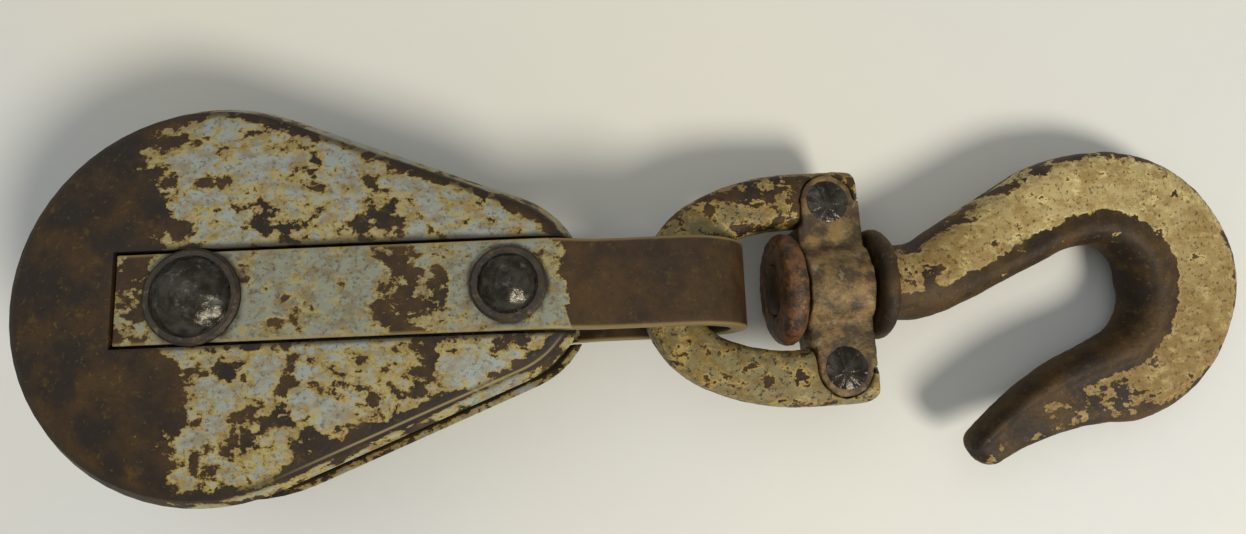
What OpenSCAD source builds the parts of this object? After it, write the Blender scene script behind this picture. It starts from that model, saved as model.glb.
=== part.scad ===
// Double pulley block with a strap, a loose shackle and a swivel hook.
// The block lies on its rivet heads and one rim, with its hook on the same surface.
// Origin: the middle of the sheave pin. +X runs along the strap to the hook, +Z is up.

/* [Sheaves] */
// Diameter over the rims of a sheave
sheave_d = 120; // [100:1:124]
// Width of a sheave at its rim and hub
sheave_w = 17.5; // [14:0.5:24]
// Diameter of the rope that the grooves take
rope_d = 14; // [9:0.5:14]
// Depth of the rope groove
groove_depth = 10; // [8:0.5:13]
// Radial play between the groove and the rope
rope_play = 0.3; // [0.1:0.1:0.6]
// Diameter of a sheave's hub
hub_d = 46; // [38:1:56]
// Thickness of a sheave's web
web_t = 9; // [6:0.5:13]
// Depth of the rim under the groove
rim_under_groove = 5; // [3:0.5:9]
// Wall of the bush pressed in each sheave
bush_wall = 3; // [2:0.25:5]
// How far a bush stands out of its sheave on each side
bush_proud = 0.4; // [0.2:0.1:0.6]

/* [Shell] */
// Radius of the shell's round end, at the crease round its face
shell_r = 68.5; // [66:0.5:90]
// Radius of the shell's narrow end, at the same crease
tip_r = 32; // [24:0.5:42]
// Distance from the sheave pin to the centre of the narrow end
tip_x = 101; // [90:0.5:120]
// How far the centre of the round end lies ahead of the sheave pin
shell_lead = 2.4; // [0:0.2:6]
// Thickness of the pressed cheeks
cheek_t = 3; // [2:0.25:4.5]
// How far the crown of a cheek's face stands above the strap
crown_rise = 0.4; // [0:0.1:1.5]
// How far the dished face falls from its crown to the crease
face_fall = 4.2; // [2:0.1:5]
// Width of the dished border between the flat crown and the crease
face_border = 31; // [24:0.5:32]
// How far the rim flares out below the crease
rim_flare = 3.6; // [1:0.2:6]
// Width of the rope's way between the rims of the two cheeks
rim_opening = 38; // [30:0.5:50]
// Play between the strap and the sides of its channel
channel_gap = 1.2; // [0.4:0.1:2.5]
// Thickness of the plate between the sheaves
centre_t = 3; // [2:0.25:6]
// How far the centre plate reaches past the crease of the cheeks
centre_reach = 1; // [0:0.2:3]
// Gap between a sheave and the plate on each side of it
side_gap = 0.8; // [0.5:0.1:1.5]

/* [Strap] */
// Width of the bar that the strap is bent from
strap_w = 31.75; // [25:0.25:34]
// Thickness of the bar that the strap is bent from
strap_t = 6.35; // [4:0.25:9]
// Distance from the sheave pin back to the ends of the strap
strap_back = 27; // [22:0.5:34]
// Distance from the sheave pin to where the legs bend inwards
strap_bend_x = 121; // [118:0.5:130]
// Angle at which the legs run inwards
strap_bend = 20; // [12:1:30]
// Radius of those bends, at the middle of the bar
strap_bend_r = 20; // [14:1:30]
// Radius over the outside of the loop
loop_r = 25; // [20:0.25:27]
// Distance from the sheave pin to the outer end of the loop
loop_end_x = 195; // [188:0.5:215]

/* [Pin and rivet] */
// Diameter of the sheave pin
pin_d = 19.05; // [14:0.25:24]
// Radial running play between a bush and the sheave pin
pin_play = 0.05; // [0.02:0.01:0.09]
// Radial play of the pin and rivet in the plates
hole_play = 0.1; // [0.05:0.05:0.3]
// Diameter of the washer under a head of the sheave pin
pin_washer_d = 34; // [28:0.5:38]
// Diameter of the domed heads of the sheave pin
pin_head_d = 29; // [23:0.5:33]
// Height of the domed heads of the sheave pin
pin_head_h = 6.8; // [4:0.2:10]
// Thickness of the washers
washer_t = 2.3; // [1.5:0.1:4]
// Distance from the sheave pin to the tip rivet
rivet_x = 109.5; // [96:0.5:112]
// Diameter of the tip rivet
rivet_d = 15.9; // [10:0.1:18]
// Diameter of the washer under a head of the tip rivet
rivet_washer_d = 27; // [22:0.5:32]
// Diameter of the domed heads of the tip rivet
rivet_head_d = 21.5; // [18:0.5:26]
// Height of the domed heads of the tip rivet
rivet_head_h = 5.8; // [3:0.2:8]
// Diameter of the spacers on the tip rivet
spacer_d = 25; // [20:0.5:32]

/* [Shackle] */
// Width of the shackle's arms, seen from above
bow_w = 21.6; // [19:0.2:24]
// Width of its bar where it passes through the loop
saddle_w = 20; // [16:0.2:21]
// Thickness of the shackle's bar
bow_t = 17; // [13:0.5:18]
// Radius of the long edges of the bar
bow_edge = 6.5; // [3:0.5:8]
// How far the middle of that bar lies off the middle of the loop, towards the sheaves
bow_back = 4; // [0:0.5:4]
// Radius of the bow where it passes through the loop, at the middle of the bar
bow_r = 29; // [26:0.5:34]
// Turn of that tight part, on each side of the strap
bow_turn = 63; // [55:1:70]
// Radius of the wider part that leads into the arms, at the middle of the bar
shoulder_r = 78; // [60:1:100]
// Distance from the middle of the bar in the loop to the crossbar
crossbar_x = 63.5; // [60:0.5:80]
// Width of the crossbar along the shank
crossbar_w = 25; // [22:0.5:30]
// Thickness of the crossbar beside its boss
crossbar_t = 15; // [11:0.5:17]
// Diameter of the boss that the shank turns in
boss_d = 33; // [28:0.5:38]
// Distance between the crossbar's two pins
pin_spread = 64; // [62:0.5:68]
// Radius of the outer corners at the ends of the bow's arms
arm_corner_r = 5; // [2:0.5:6]
// Radius of the eyes at the crossbar's ends
eye_r = 10.5; // [8.5:0.5:11]
// Diameter of the crossbar's pins
crossbar_pin_d = 12; // [8:0.5:14]
// Diameter of the hammered heads of those pins
crossbar_head_d = 16.5; // [12:0.5:18]
// Height of the hammered heads
crossbar_head_h = 1.6; // [0.8:0.2:3]
// Gap between the faces of the crossbar and the bow
lap_gap = 0.3; // [0.1:0.1:0.8]

/* [Hook] */
// Diameter of the shank
shank_d = 20; // [14:0.5:24]
// Radial running play of the shank in the boss
shank_play = 0.08; // [0.02:0.01:0.09]
// End play between the boss, the shank nut and the collar
end_play = 1.4; // [0.6:0.1:2.5]
// Diameter of the round nut on the shank
nut_d = 43; // [36:0.5:44]
// Thickness of the round nut
nut_t = 9; // [6:0.5:10]
// Diameter of the hook's collar
collar_d = 43.5; // [36:0.5:50]
// Thickness of the collar
collar_t = 7; // [4:0.5:10]
// Diameter of the neck beside the collar
neck_d = 30; // [24:0.5:34]
// Length of the straight neck
neck_length = 8; // [6:0.5:20]
// Angle at which the neck leads up to the back of the hook
neck_turn = 26; // [15:1:32]
// Radius of the bend in the neck
neck_r = 30; // [26:1:90]
// Length of the straight run up to the back
rise_length = 46; // [20:0.5:55]
// Radius of the hook's back, at the middle of the bar
back_r = 58; // [45:1:110]
// Radius of the hook's crown, at the middle of the bar
crown_r = 36.5; // [33:0.5:42]
// Turn of the crown
crown_turn = 170; // [155:1:178]
// Length of the straight part of the lip
lip_length = 4; // [2:1:50]
// Radius of the lip's outward curve
lip_r = 122; // [90:1:200]
// Turn of the lip's outward curve
lip_turn = 30; // [8:1:36]
// Depth of the bar at the hook's back
back_depth = 37.5; // [34:0.5:42]
// Depth of the bar at the crown
crown_depth = 48; // [38:0.5:50]
// Depth of the bar where the lip starts
lip_depth = 37; // [22:0.5:40]
// Depth of the bar before the rounded tip
tip_depth = 16; // [14:0.5:24]
// Thickness of the bar at the crown
crown_thickness = 27; // [22:0.5:30]
// Thickness of the bar before the rounded tip
tip_thickness = 17; // [14:0.5:24]

/* [As it lies] */
// Roll of the block onto one rim
lie_roll = 10.3; // [0:0.1:12]
// Angle at which the shackle and hook slope down from the loop
lie_slope = 6.8; // [0:0.1:12]
// Roll of the shackle
shackle_roll = 10.3; // [0:0.1:12]
// Turn of the shackle seen from above
shackle_yaw = 0.8; // [0:0.1:2]
// Sideways shift of the shackle in the loop
shackle_shift = 2.4; // [0:0.1:4]

/* [Hidden] */
$fn = 96;

// Heights in the stack, counted from the middle of the centre plate
sheave_z = centre_t / 2 + side_gap + sheave_w / 2;
floor_z = sheave_z + sheave_w / 2 + side_gap;
seat_z = floor_z + cheek_t;
face_z = seat_z + strap_t;
head_z = face_z + washer_t;
crown_z = face_z + crown_rise;

// Shell outline
pin_r = pin_d / 2;
rivet_r = rivet_d / 2;
span = tip_x - shell_lead;
end_step = shell_r - tip_r;
flank_a = asin(end_step / span);
flank_l = span * cos(flank_a);
rim_z = rim_opening / 2;
rim_r = shell_r + rim_flare;
crease_z = crown_z - face_fall;
rim_slope = rim_flare / (crease_z - rim_z);
rim_wall = cheek_t * sqrt(1 + rim_slope * rim_slope);
crease_break = 1;
round_steps = 40;
tip_steps = 16;
channel_w = strap_w + 2 * channel_gap;
far = 400;

// Strap line, at the middle of the bar
leg_z = face_z - strap_t / 2;
loop_mid_r = loop_r - strap_t / 2;
bend_drop = strap_bend_r * (1 - cos(strap_bend));
slope_l = (leg_z - loop_mid_r - 2 * bend_drop) / sin(strap_bend);
bend_run = strap_bend_r * sin(strap_bend);
loop_x = loop_end_x - loop_r;
bow_x = loop_x - bow_back;
out_x = strap_bend_x + 2 * bend_run + slope_l * cos(strap_bend);
bend_steps = 8;
loop_steps = 16;

// Sheave section
groove_r = rope_d / 2 + rope_play;
sheave_r = sheave_d / 2;
bush_r = pin_r + pin_play + bush_wall;
rim_in_r = sheave_r - groove_depth - rim_under_groove;
edge_break = 1;

// Shackle plan, at the middle of the bar
shoulder_turn = 90 - bow_turn;
tight_x = bow_r * (1 - cos(bow_turn));
tight_y = bow_r * sin(bow_turn);
arm_x = tight_x + shoulder_r * sin(shoulder_turn);
arm_y = tight_y + shoulder_r * (1 - cos(shoulder_turn));
arm_end_x = crossbar_x + crossbar_w / 2;
window_y = arm_y - bow_w / 2;
eye_y = pin_spread / 2;
boss_left = crossbar_x - crossbar_w / 2;
boss_right = crossbar_x + crossbar_w / 2;
corner_steps = 4;
tight_steps = 12;
shoulder_steps = 6;

// Hook stations along the middle of its bar
collar_x = boss_right + end_play;
neck_x = collar_x + collar_t;
nut_x = boss_left - end_play - nut_t;
peen_h = 2;
tip_round = tip_depth / 2;
station_step = 5;
section_points = 28;
crease_at = -0.28;

// Each run of the hook is a length and a curvature in degrees a millimetre, left turns positive
function arc_run(radius, turn) = [radius * abs(turn) * PI / 180, sign(turn) * 180 / (PI * radius)];
HOOK_RUNS = [
    [neck_length, 0],
    arc_run(neck_r, neck_turn),
    [rise_length, 0],
    arc_run(back_r, -neck_turn),
    arc_run(crown_r, -crown_turn),
    [lip_length, 0],
    arc_run(lip_r, lip_turn)
];
function run_start(i) = i == 0 ? 0 : run_start(i - 1) + HOOK_RUNS[i - 1][0];
hook_length = run_start(len(HOOK_RUNS));
back_start = run_start(3);
crown_start = run_start(4);
crown_mid = crown_start + HOOK_RUNS[4][0] / 2;
lip_start = run_start(5);
lip_mid = run_start(6);
tip_start = hook_length - tip_round;

function advance(p, l, k) =
    k == 0
        ? [p[0] + l * cos(p[2]), p[1] + l * sin(p[2]), p[2]]
        : let (r = 180 / (PI * k), a = p[2] + k * l)
          [p[0] + r * (sin(a) - sin(p[2])), p[1] - r * (cos(a) - cos(p[2])), a];
function walk(p, s, i) =
    let (run = HOOK_RUNS[i], last = i == len(HOOK_RUNS) - 1)
    s <= run[0] || last ? advance(p, s, run[1]) : walk(advance(p, run[0], run[1]), s - run[0], i + 1);
function hook_place(s) = walk([neck_x, 0, 0], s, 0);

function hook_depth(s) = lookup(s, [
    [0, neck_d], [neck_length, neck_d], [back_start, back_depth - 2], [crown_start, back_depth],
    [crown_mid, crown_depth], [lip_start, lip_depth], [lip_mid, lip_depth - 3], [tip_start, tip_depth]
]);
function hook_thickness(s) = lookup(s, [
    [0, neck_d], [neck_length, neck_d - 2], [back_start, crown_thickness], [crown_mid, crown_thickness],
    [lip_start, crown_thickness - 3], [tip_start, tip_thickness]
]);
// The bar is round at the neck and has its bead and crease from the back on
function bead_share(s) = lookup(s, [[neck_length, 0], [back_start, 1]]);
function tip_scale(s) = s <= tip_start ? 1 : sqrt(max(0.03, 1 - pow((s - tip_start) / tip_round, 2)));

// Half thickness across the bar, where u runs from -1 at the bowl to 1 at the back
function bead_height(u) = u > crease_at + 0.12 ? 0 : sqrt(max(0, 1 - pow((u + 0.58) / 0.42, 2)));
function band_height(u) = 0.8 * pow(max(0, 1 - pow(abs((u - 0.1) / 0.9), 3.2)), 1 / 3.2);
function bar_height(u) = max(bead_height(u), band_height(u));
function section_point(a, share) =
    let (u = -cos(a), side = sign(sin(a)), round_h = abs(sin(a)))
    [u, side * (round_h + share * (bar_height(u) - round_h))];

STATIONS = concat(
    [for (s = [0 : station_step : tip_start - station_step / 2]) s],
    [for (t = [0 : 0.25 : 1]) tip_start + t * tip_round * 0.985]
);
function hook_ring(s) =
    let (p = hook_place(s), d = hook_depth(s) / 2 * tip_scale(s), h = hook_thickness(s) / 2 * tip_scale(s))
    [for (i = [0 : section_points - 1])
        let (q = section_point(360 * (i + 0.5) / section_points, bead_share(s)), u = q[0] * d)
        [p[0] - u * sin(p[2]), p[1] + u * cos(p[2]), q[1] * h]];

// Placing of the two halves of the object as it lies

module in_block() {
    rotate([-lie_roll, 0, 0])
    children();
}

module in_shackle() {
    translate([bow_x, -shackle_shift, 0])
    rotate([0, 0, shackle_yaw])
    rotate([0, lie_slope, 0])
    rotate([-shackle_roll, 0, 0])
    children();
}

module in_hook() {
    translate([bow_x, -shackle_shift, 0])
    rotate([0, 0, shackle_yaw])
    rotate([0, lie_slope, 0])
    children();
}

module facing(side) {
    if (side > 0) children();
    else mirror([0, 0, 1]) children();
}

// Closed skin through rings of points that run anticlockwise, seen along the way they head
module swept_bar(rings) {
    n = len(rings[0]);
    last = len(rings) - 1;
    polyhedron(
        points = [for (r = rings, p = r) p],
        faces = concat(
            [[for (i = [n - 1 : -1 : 0]) i]],
            [for (j = [0 : last - 1], i = [0 : n - 1])
                let (a = j * n + i, b = j * n + (i + 1) % n)
                each [[a, b + n, a + n], [a, b, b + n]]],
            [[for (i = [0 : n - 1]) last * n + i]]
        ),
        convexity = 8
    );
}

// Shell

// Teardrop solid whose wall may slope, given by the radii of its round end
module teardrop(r_low, r_high, z_low, z_high) {
    translate([shell_lead, 0, 0]) {
        translate([0, 0, z_low])
        cylinder(h = z_high - z_low, r1 = r_low, r2 = r_high);
        translate([span, 0, z_low])
        cylinder(h = z_high - z_low, r1 = r_low - end_step, r2 = r_high - end_step);
        for (side = [0, 1]) {
            mirror([0, side, 0])
            rotate([0, 0, -flank_a])
            rotate([90, 0, 90])
            linear_extrude(flank_l)
            polygon([[0, z_low], [r_low, z_low], [r_high, z_high], [0, z_high]]);
        }
    }
}

// Teardrop outline at one height, clockwise from above, given by the radius of its round end
function outline(r, z) = concat(
    [for (i = [0 : round_steps])
        let (a = 90 - flank_a + (180 + 2 * flank_a) * i / round_steps)
        [shell_lead + r * cos(a), -r * sin(a), z]],
    [for (i = [0 : tip_steps])
        let (a = flank_a - 90 + (180 - 2 * flank_a) * i / tip_steps)
        [tip_x + (r - end_step) * cos(a), -(r - end_step) * sin(a), z]]
);
function wall_r(z) = rim_r - rim_slope * (z - rim_z);
// Place on the dished face, where t runs from 0 at the flat crown to 1 at the crease
function face_place(t) = [shell_r - face_border * (1 - t), crown_z - face_fall * t * t];
FACE_STEPS = [0.94, 0.75, 0.55, 0.35, 0.15];

// Rings from the free edge up to the crown, set in by a distance
function outer_rings(inset) = concat(
    [[rim_r - inset, rim_z], [wall_r(crease_z - crease_break) - inset, crease_z - crease_break - inset]],
    [for (t = FACE_STEPS) face_place(t) - [0, inset]]
);
// Rings of the hollow, from the ceiling down to its mouth
function hollow_rings() =
    let (top_z = crease_z - cheek_t, corner_r = wall_r(top_z) - rim_wall)
    concat(
        [for (i = [len(FACE_STEPS) - 1 : -1 : 0])
            let (p = face_place(FACE_STEPS[i])) if (p[0] < corner_r - 1) p - [0, cheek_t]],
        [[corner_r, top_z], [rim_r - rim_wall, rim_z]]
    );

module ringed(places) {
    swept_bar([for (p = places) outline(p[0], p[1])]);
}

module strap_channel(wall, z_low, z_high) {
    back = strap_back + channel_gap + wall;
    half = channel_w / 2 + wall;
    translate([-back, -half, z_low])
    cube([back + far, 2 * half, z_high - z_low]);
}

module pin_holes(z_low, z_high) {
    translate([0, 0, z_low])
    cylinder(h = z_high - z_low, r = pin_r + hole_play);
    translate([rivet_x, 0, z_low])
    cylinder(h = z_high - z_low, r = rivet_r + hole_play);
}

module cheek() {
    difference() {
        union() {
            ringed(concat(hollow_rings(), outer_rings(0)));
            intersection() {
                ringed(outer_rings(cheek_t / 2));
                strap_channel(cheek_t, floor_z, crown_z + 1);
            }
        }
        strap_channel(0, seat_z, crown_z + 2);
        translate([strap_bend_x, -channel_w / 2, 0]) cube([far, channel_w, crown_z + 2]);
        pin_holes(floor_z - 1, seat_z + 1);
    }
}

module front_cheek() {
    color("#c9c6b4") in_block() facing(1) cheek();
}

module rear_cheek() {
    color("#b9b5a2") in_block() facing(-1) cheek();
}

module centre_plate() {
    color("#8b7d62")
    in_block()
    difference() {
        teardrop(shell_r + centre_reach, shell_r + centre_reach, -centre_t / 2, centre_t / 2);
        pin_holes(-centre_t, centre_t);
    }
}

// Strap

function arc_points(x, z, r, from, to, steps) =
    [for (i = [0 : steps]) let (a = from + (to - from) * i / steps) [x + r * cos(a), z + r * sin(a)]];

// One long side of the strap's side view, from the end of a leg round the loop, half_t off the middle
function upper_line(half_t) = concat(
    [[-strap_back, leg_z + half_t]],
    arc_points(strap_bend_x, leg_z - strap_bend_r, strap_bend_r + half_t, 90, 90 - strap_bend, bend_steps),
    arc_points(out_x, loop_mid_r + strap_bend_r, strap_bend_r - half_t, -90 - strap_bend, -90, bend_steps),
    arc_points(loop_x, 0, loop_mid_r + half_t, 90, 0, loop_steps)
);
function whole_line(half_t) =
    let (upper = upper_line(half_t), n = len(upper))
    concat(upper, [for (i = [n - 2 : -1 : 0]) [upper[i][0], -upper[i][1]]]);
function turned(points) = [for (i = [len(points) - 1 : -1 : 0]) points[i]];

module strap() {
    color("#6b5a45")
    in_block()
    difference() {
        translate([0, strap_w / 2, 0])
        rotate([90, 0, 0])
        linear_extrude(strap_w)
        polygon(concat(whole_line(strap_t / 2), turned(whole_line(-strap_t / 2))));
        pin_holes(-face_z - 1, face_z + 1);
    }
}

// Pin, rivet, washers and spacers

module domed_head(d, h) {
    ball_r = (h * h + d * d / 4) / (2 * h);
    rotate_extrude()
    intersection() {
        translate([0, h - ball_r]) circle(ball_r);
        square([d / 2, h]);
    }
}

module headed_pin(shank_r, d, h) {
    translate([0, 0, -head_z])
    cylinder(h = 2 * head_z, r = shank_r);
    for (side = [-1, 1]) {
        facing(side)
        translate([0, 0, head_z])
        domed_head(d, h);
    }
}

module washer(outer_d, inner_r) {
    translate([0, 0, face_z])
    rotate_extrude()
    polygon([
        [inner_r, 0],
        [outer_d / 2, 0],
        [outer_d / 2, washer_t - edge_break],
        [outer_d / 2 - edge_break, washer_t],
        [inner_r, washer_t]
    ]);
}

module sheave_pin() {
    color("#54524f") in_block() headed_pin(pin_r, pin_head_d, pin_head_h);
}

module tip_rivet() {
    color("#5a5753")
    in_block()
    translate([rivet_x, 0, 0])
    headed_pin(rivet_r, rivet_head_d, rivet_head_h);
}

module pin_washer(side) {
    color("#77705f") in_block() facing(side) washer(pin_washer_d, pin_r + hole_play);
}

module rivet_washer(side) {
    color("#7b6f57")
    in_block()
    translate([rivet_x, 0, 0])
    facing(side)
    washer(rivet_washer_d, rivet_r + hole_play);
}

module spacer(side) {
    color("#5f564a")
    in_block()
    translate([rivet_x, 0, 0])
    facing(side)
    difference() {
        translate([0, 0, centre_t / 2]) cylinder(h = floor_z - centre_t / 2, d = spacer_d);
        cylinder(h = face_z, r = rivet_r + hole_play);
    }
}

// Sheaves and their bushes

module sheave_section() {
    half = sheave_w / 2;
    difference() {
        union() {
            translate([bush_r, -half]) square([hub_d / 2 - bush_r, sheave_w]);
            translate([bush_r, -web_t / 2]) square([sheave_r - bush_r - edge_break, web_t]);
            polygon([
                [rim_in_r, -half],
                [sheave_r - edge_break, -half],
                [sheave_r, -half + edge_break],
                [sheave_r, half - edge_break],
                [sheave_r - edge_break, half],
                [rim_in_r, half]
            ]);
        }
        translate([sheave_r - groove_depth + groove_r, 0]) circle(groove_r);
        translate([sheave_r - groove_depth + groove_r, -groove_r]) square([groove_depth, 2 * groove_r]);
    }
}

module sheave(side) {
    color("#4e4a45")
    in_block()
    translate([0, 0, side * sheave_z])
    rotate_extrude()
    sheave_section();
}

module bush(side) {
    length = sheave_w + 2 * bush_proud;
    color("#9a7b3f")
    in_block()
    translate([0, 0, side * sheave_z - length / 2])
    difference() {
        cylinder(h = length, r = bush_r);
        translate([0, 0, -1]) cylinder(h = length + 2, r = pin_r + pin_play);
    }
}

// Shackle

// Rounded section of the bow, as points across and up, with its outer side at a fixed place
function bow_section(w) = [
    for (corner = [[1, 1, 0], [-1, 1, 90], [-1, -1, 180], [1, -1, 270]], i = [0 : corner_steps])
        let (a = corner[2] + 90 * i / corner_steps)
        [(w - bow_w) / 2 + corner[0] * (w / 2 - bow_edge) + bow_edge * cos(a),
         corner[1] * (bow_t / 2 - bow_edge) + bow_edge * sin(a)]
];

// Places along the middle of the bow: x, y, the heading and the width there
function tight_place(a) = [bow_r - bow_r * cos(a), bow_r * sin(a), 90 - a, saddle_w];
function shoulder_place(share) =
    let (a = shoulder_turn * (1 - share))
    [arm_x - shoulder_r * sin(a), arm_y - shoulder_r + shoulder_r * cos(a), a,
     saddle_w + share * (bow_w - saddle_w)];
BOW_HALF = concat(
    [for (i = [1 : tight_steps]) tight_place(bow_turn * i / tight_steps)],
    [for (i = [1 : shoulder_steps]) shoulder_place(i / shoulder_steps)],
    [[arm_end_x, arm_y, 0, bow_w]]
);
BOW_PLACES = concat(
    [for (i = [len(BOW_HALF) - 1 : -1 : 0]) let (p = BOW_HALF[i]) [p[0], -p[1], 180 - p[2], p[3]]],
    [tight_place(0)],
    BOW_HALF
);
function bow_ring(p) =
    [for (q = bow_section(p[3])) [p[0] + q[0] * sin(p[2]), p[1] - q[0] * cos(p[2]), q[1]]];

// Room in the bow's upper half for the crossbar's eye and the bar beside it
module lap_seat() {
    seat_r = eye_r + lap_gap;
    translate([crossbar_x, eye_y, -lap_gap / 2])
    cylinder(h = bow_t, r = seat_r);
    translate([crossbar_x - seat_r, 0, -lap_gap / 2])
    cube([seat_r + crossbar_w, eye_y, bow_t]);
}

// What is cut off the outer corner at the end of an arm
module arm_corner() {
    edge_x = arm_end_x - arm_corner_r;
    edge_y = arm_y + bow_w / 2 - arm_corner_r;
    past_x = arm_end_x + 1;
    past_y = edge_y + arm_corner_r + 1;
    translate([0, 0, -bow_t])
    linear_extrude(2 * bow_t)
    polygon(concat(
        [[past_x, edge_y], [past_x, past_y], [edge_x, past_y]],
        arc_points(edge_x, edge_y, arm_corner_r, 90, 0, corner_steps)
    ));
}

module shackle_bow() {
    color("#a39a7e")
    in_shackle()
    difference() {
        swept_bar([for (p = BOW_PLACES) bow_ring(p)]);
        for (side = [0, 1]) {
            mirror([0, side, 0]) lap_seat();
            mirror([0, side, 0]) arm_corner();
            mirror([0, side, 0])
            translate([crossbar_x, eye_y, -bow_t])
            cylinder(h = 2 * bow_t, r = crossbar_pin_d / 2 + hole_play);
        }
    }
}

module shackle_crossbar() {
    body_y = window_y - lap_gap;
    tongue_h = bow_t / 2 - lap_gap / 2;
    color("#8d8069")
    in_shackle()
    difference() {
        union() {
            translate([boss_left, 0, 0])
            rotate([0, 90, 0])
            cylinder(h = crossbar_w, d = boss_d);
            translate([boss_left, -body_y, -crossbar_t / 2])
            cube([crossbar_w, 2 * body_y, crossbar_t]);
            translate([crossbar_x - eye_r, -eye_y, lap_gap / 2])
            cube([eye_r + crossbar_w / 2, 2 * eye_y, tongue_h]);
            for (side = [-1, 1]) {
                translate([crossbar_x, side * eye_y, lap_gap / 2])
                cylinder(h = tongue_h, r = eye_r);
            }
        }
        translate([boss_left - 1, 0, 0])
        rotate([0, 90, 0])
        cylinder(h = crossbar_w + 2, r = shank_d / 2 + shank_play);
        for (side = [-1, 1]) {
            translate([crossbar_x, side * eye_y, -bow_t])
            cylinder(h = 2 * bow_t, r = crossbar_pin_d / 2 + hole_play);
        }
    }
}

module crossbar_pin(side) {
    color("#857a5f")
    in_shackle()
    translate([crossbar_x, side * eye_y, 0]) {
        translate([0, 0, -bow_t / 2])
        cylinder(h = bow_t, d = crossbar_pin_d);
        for (end = [-1, 1]) {
            facing(end)
            translate([0, 0, bow_t / 2])
            domed_head(crossbar_head_d, crossbar_head_h);
        }
    }
}

// Hook and its nut

// Round disc with a full outer edge, on the shank's line
module round_disc(d, t) {
    rotate([0, 90, 0])
    rotate_extrude() {
        square([(d - t) / 2, t]);
        intersection() {
            translate([(d - t) / 2, t / 2]) circle(t / 2);
            square([d, t]);
        }
    }
}

module hook() {
    color("#b7ad8c")
    in_hook()
    union() {
        translate([nut_x, 0, 0])
        rotate([0, 90, 0])
        cylinder(h = collar_x + collar_t / 2 - nut_x, d = shank_d);
        translate([nut_x, 0, 0])
        rotate([0, -90, 0])
        domed_head(shank_d, peen_h);
        translate([collar_x, 0, 0]) round_disc(collar_d, collar_t);
        swept_bar([for (s = STATIONS) hook_ring(s)]);
    }
}

module shank_nut() {
    color("#6e4a33")
    in_hook()
    difference() {
        translate([nut_x, 0, 0]) round_disc(nut_d, nut_t);
        translate([nut_x - 1, 0, 0])
        rotate([0, 90, 0])
        cylinder(h = nut_t + 2, d = shank_d);
    }
}

front_cheek();
rear_cheek();
centre_plate();
strap();
sheave_pin();
tip_rivet();
pin_washer(1);  // front_pin_washer
pin_washer(-1);  // rear_pin_washer
rivet_washer(1);  // front_rivet_washer
rivet_washer(-1);  // rear_rivet_washer
spacer(1);  // front_spacer
spacer(-1);  // rear_spacer
sheave(1);  // front_sheave
sheave(-1);  // rear_sheave
bush(1);  // front_bush
bush(-1);  // rear_bush
shackle_bow();
shackle_crossbar();
crossbar_pin(1);  // left_crossbar_pin
crossbar_pin(-1);  // right_crossbar_pin
hook();
shank_nut();
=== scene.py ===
"""Looks of an old double pulley block that lies on a pale table with its hook swung out."""

import logging
from collections.abc import Callable
from dataclasses import dataclass
from enum import Enum
from math import atan2, cos, hypot, radians, sin

import bmesh
import bpy
import numpy as np
from mathutils import Matrix, Vector, noise


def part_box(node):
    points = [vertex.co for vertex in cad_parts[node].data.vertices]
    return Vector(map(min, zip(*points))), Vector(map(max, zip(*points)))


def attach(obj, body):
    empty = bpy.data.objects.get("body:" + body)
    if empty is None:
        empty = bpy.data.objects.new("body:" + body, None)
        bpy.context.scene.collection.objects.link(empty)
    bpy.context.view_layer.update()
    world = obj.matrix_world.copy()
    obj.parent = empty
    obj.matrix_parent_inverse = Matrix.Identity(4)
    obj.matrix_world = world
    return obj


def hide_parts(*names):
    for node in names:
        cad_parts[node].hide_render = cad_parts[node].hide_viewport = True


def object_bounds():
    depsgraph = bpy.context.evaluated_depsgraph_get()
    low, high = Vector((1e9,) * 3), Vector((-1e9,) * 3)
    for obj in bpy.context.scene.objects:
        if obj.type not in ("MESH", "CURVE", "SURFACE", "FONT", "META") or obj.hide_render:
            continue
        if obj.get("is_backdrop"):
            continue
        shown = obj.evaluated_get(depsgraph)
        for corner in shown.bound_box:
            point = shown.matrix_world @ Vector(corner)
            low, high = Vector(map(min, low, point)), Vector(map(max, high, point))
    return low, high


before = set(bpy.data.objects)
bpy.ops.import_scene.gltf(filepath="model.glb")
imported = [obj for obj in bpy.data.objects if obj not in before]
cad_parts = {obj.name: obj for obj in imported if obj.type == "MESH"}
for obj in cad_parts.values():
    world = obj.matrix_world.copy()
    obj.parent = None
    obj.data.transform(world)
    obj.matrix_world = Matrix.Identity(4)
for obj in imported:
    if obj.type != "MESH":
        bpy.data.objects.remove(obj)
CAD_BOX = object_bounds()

LOG = logging.getLogger("pulley_block")
MM = 0.001
# The shell lies rolled about its length by this many degrees.
LIE_ROLL = 10.3

# Settings that nodes share.
ADD = {"operation": "ADD"}
SUBTRACT = {"operation": "SUBTRACT"}
MULTIPLY = {"operation": "MULTIPLY"}
MAXIMUM = {"operation": "MAXIMUM"}
SMOOTH = {"interpolation_type": "SMOOTHSTEP"}
COLOURS = {"data_type": "RGBA", "clamp_factor": True}

Link = tuple[bpy.types.Node, str | int]
Inputs = dict[str | int, object]


def plain(value: object) -> object:
    """Turns nested vectors into nested lists of numbers.

    Args:
        value: a number, or any nesting of sequences of numbers.

    Returns:
        The same nesting as lists of floats.
    """
    if isinstance(value, (int, float)):
        return float(value)
    return [plain(item) for item in value]


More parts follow.
